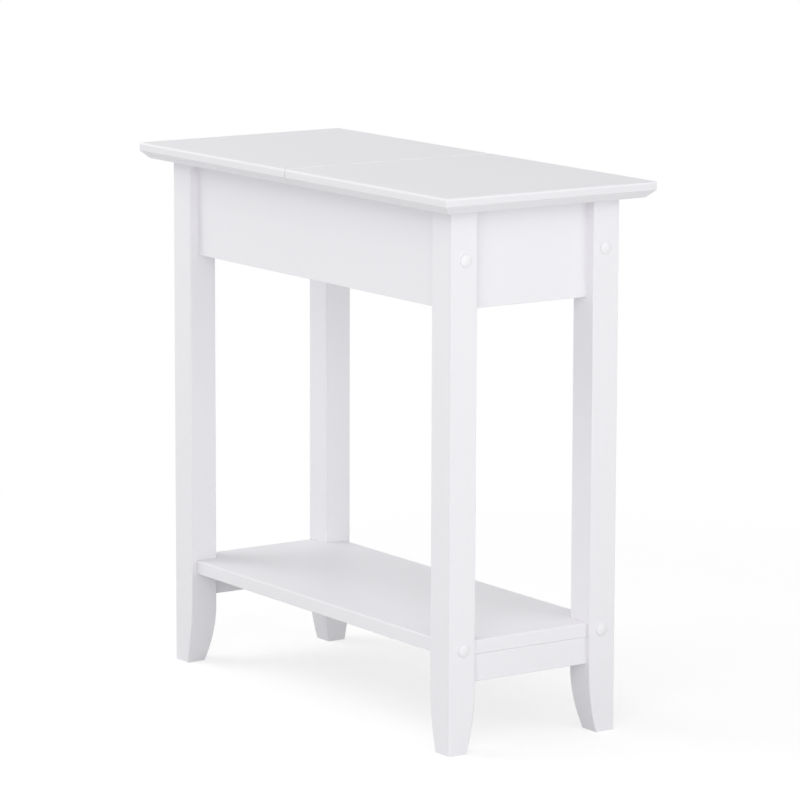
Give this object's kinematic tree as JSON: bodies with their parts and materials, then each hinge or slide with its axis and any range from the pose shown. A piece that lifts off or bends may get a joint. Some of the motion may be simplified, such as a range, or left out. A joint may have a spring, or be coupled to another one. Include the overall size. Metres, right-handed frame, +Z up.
{
  "type": "lift top end table",
  "caption": "Narrow white end table with a hinged half of its top that lifts over a storage compartment, straight legs with curved feet and a lower shelf.",
  "frame": {"origin": "on the floor, at the middle of the table's footprint", "axes": "+X along the length towards the lifting half of the top, -Y towards the front long side, +Z up"},
  "size_m": [0.618, 0.278, 0.61],
  "materials": {
    "white_paint": "satin white paint on wood board",
    "bare_wood": "bare sanded hardwood",
    "zinc_steel": "zinc plated",
    "hinge_steel": "nickel plated, fine brushed",
    "white_hinge": "white powder coat on steel",
    "white_cap": "smooth moulded white"
  },
  "bodies": {
    "table": {"leg_front_left": "white_paint", "leg_front_right": "white_paint", "leg_rear_left": "white_paint", "leg_rear_right": "white_paint", "front_apron": "white_paint", "rear_apron": "white_paint", "left_end_apron": "white_paint", "right_end_apron": "white_paint", "lower_shelf": "white_paint", "left_shelf_rail": "white_paint", "right_shelf_rail": "white_paint", "compartment_floor": "white_paint", "compartment_divider": "white_paint", "fixed_top": "white_paint", "front_cleat": "bare_wood", "rear_cleat": "bare_wood", "end_cleat": "bare_wood", "side_apron_dowels": "bare_wood", "end_apron_dowels": "bare_wood", "rail_dowels": "bare_wood", "upper_leg_bolts": "zinc_steel", "lower_leg_bolts": "zinc_steel", "apron_barrel_nuts": "zinc_steel", "shelf_barrel_nuts": "zinc_steel", "cleat_top_screws": "zinc_steel", "cleat_apron_screws": "zinc_steel", "rail_screws": "zinc_steel", "front_hinge_pin": "hinge_steel", "rear_hinge_pin": "hinge_steel", "hinge_fixed_screws": "hinge_steel", "front_hinge_fixed_leaf": "white_hinge", "rear_hinge_fixed_leaf": "white_hinge", "upper_bolt_caps": "white_cap", "lower_bolt_caps": "white_cap"},
    "lid": {"lift_lid": "white_paint", "front_hinge_lid_leaf": "white_hinge", "rear_hinge_lid_leaf": "white_hinge", "hinge_lid_screws": "hinge_steel"}
  },
  "joints": [
    {"name": "lid_hinge", "type": "hinge", "parent": "table", "child": "lid", "pos_m": [0, 0, 0.608], "axis": [0, -1, 0], "range_deg": [0, 100]}
  ]
}
